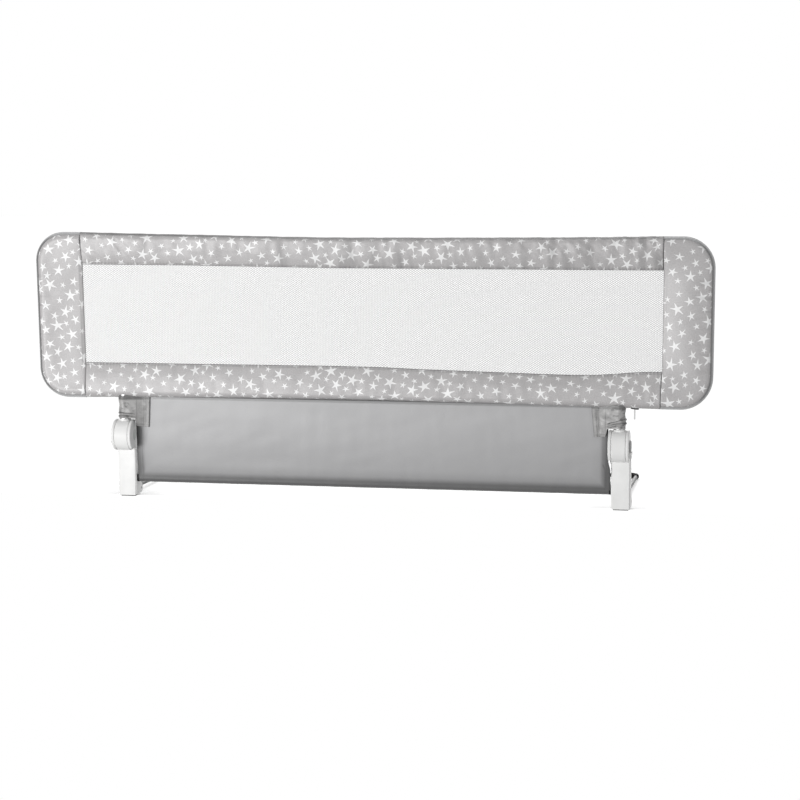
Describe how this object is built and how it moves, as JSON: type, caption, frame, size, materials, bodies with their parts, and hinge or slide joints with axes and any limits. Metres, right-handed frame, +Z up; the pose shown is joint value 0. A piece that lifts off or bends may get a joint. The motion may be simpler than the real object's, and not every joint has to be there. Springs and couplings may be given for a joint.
{
  "type": "folding bed guard rail",
  "caption": "Long folding guard rail for a child's bed: tube frame in a fabric cover with a net window and skirt, swinging down on two moulded legs with a fold-up base.",
  "frame": {"origin": "middle of the footprint on the floor, halfway between the hinges' front and the base's rear bar", "axes": "+X along the rail to the viewer's right, +Y from the front to the bed side, +Z up"},
  "size_m": [1.5, 0.5147, 0.59],
  "materials": {
    "white_plastic": "satin moulded plastic",
    "cap_plastic": "matt moulded plastic",
    "button_plastic": "satin moulded plastic",
    "black_plastic": "satin moulded plastic",
    "foot_rubber": "matt rubber",
    "frame_steel": "drawn steel tube",
    "fastener_steel": "zinc plated",
    "base_paint": "dark satin paint",
    "cover_fabric": "smooth woven polyester printed with scattered stars",
    "plain_fabric": "smooth woven polyester",
    "skirt_fabric": "coated polyester with a faint sheen",
    "piping_fabric": "woven binding",
    "net_fabric": "fine knitted net"
  },
  "bodies": {
    "stand": {"leg_right": "white_plastic", "leg_left": "white_plastic", "leg_cover_right": "white_plastic", "leg_cover_left": "white_plastic", "leg_screw_lower_right": "fastener_steel", "leg_screw_lower_left": "fastener_steel", "leg_screw_upper_right": "fastener_steel", "leg_screw_upper_left": "fastener_steel", "foot_pad_right": "foot_rubber", "foot_pad_left": "foot_rubber", "hinge_pin_right": "fastener_steel", "hinge_pin_left": "fastener_steel", "pin_cap_right": "cap_plastic", "pin_cap_left": "cap_plastic", "hem_collar_right": "black_plastic", "hem_collar_left": "black_plastic", "base_pin_right": "fastener_steel", "base_pin_left": "fastener_steel", "hem_rod": "black_plastic", "skirt_lower": "skirt_fabric"},
    "guard": {"knuckle_right": "white_plastic", "knuckle_left": "white_plastic", "upright_right": "frame_steel", "upright_left": "frame_steel", "upright_screw_right": "fastener_steel", "upright_screw_left": "fastener_steel", "frame_right": "frame_steel", "frame_left": "frame_steel", "snap_top_right": "fastener_steel", "snap_top_left": "fastener_steel", "snap_bottom_right": "fastener_steel", "snap_bottom_left": "fastener_steel", "cover_end_right": "cover_fabric", "cover_end_left": "cover_fabric", "piping_right": "piping_fabric", "piping_left": "piping_fabric", "ear_right": "plain_fabric", "ear_left": "plain_fabric", "frame_top": "frame_steel", "frame_bottom": "frame_steel", "cover_top": "cover_fabric", "cover_bottom": "cover_fabric", "window_net": "net_fabric", "skirt_upper": "skirt_fabric", "zip_tape": "plain_fabric"},
    "release_left": {"release_button_left": "button_plastic", "lock_ring_left": "fastener_steel"},
    "release_right": {"release_button_right": "button_plastic", "lock_ring_right": "fastener_steel"},
    "base": {"base_barrel_right": "white_plastic", "base_barrel_left": "white_plastic", "base_arm_right": "base_paint", "base_arm_left": "base_paint", "base_elbow_right": "black_plastic", "base_elbow_left": "black_plastic", "base_bar_right": "base_paint", "base_bar_left": "base_paint", "base_sleeve": "black_plastic"},
    "zip_slider": {"zip_slider": "black_plastic"},
    "zip_puller": {"zip_puller": "fastener_steel"}
  },
  "joints": [
    {"name": "guard_fold", "type": "hinge", "parent": "stand", "child": "guard", "pos_m": [0, -0.2226, 0.1425], "axis": [1, 0, 0], "range_deg": [0, 180]},
    {"name": "release_left", "type": "slide", "parent": "stand", "child": "release_left", "axis": [1, 0, 0], "range_m": [0, 0.003], "stiffness_N_per_m": 1500, "springref_m": -0.002},
    {"name": "release_right", "type": "slide", "parent": "stand", "child": "release_right", "axis": [-1, 0, 0], "range_m": [0, 0.003], "stiffness_N_per_m": 1500, "springref_m": -0.002},
    {"name": "base_fold", "type": "hinge", "parent": "stand", "child": "base", "pos_m": [0, -0.1706, 0.0151], "axis": [1, 0, 0], "range_deg": [0, 90]},
    {"name": "zip_slide", "type": "slide", "parent": "guard", "child": "zip_slider", "axis": [1, 0, 0], "range_m": [-1.166, 0]},
    {"name": "zip_pull", "type": "hinge", "parent": "zip_slider", "child": "zip_puller", "pos_m": [0.583, -0.2059, 0.2216], "axis": [1, 0, 0], "range_deg": [0, 100]}
  ]
}
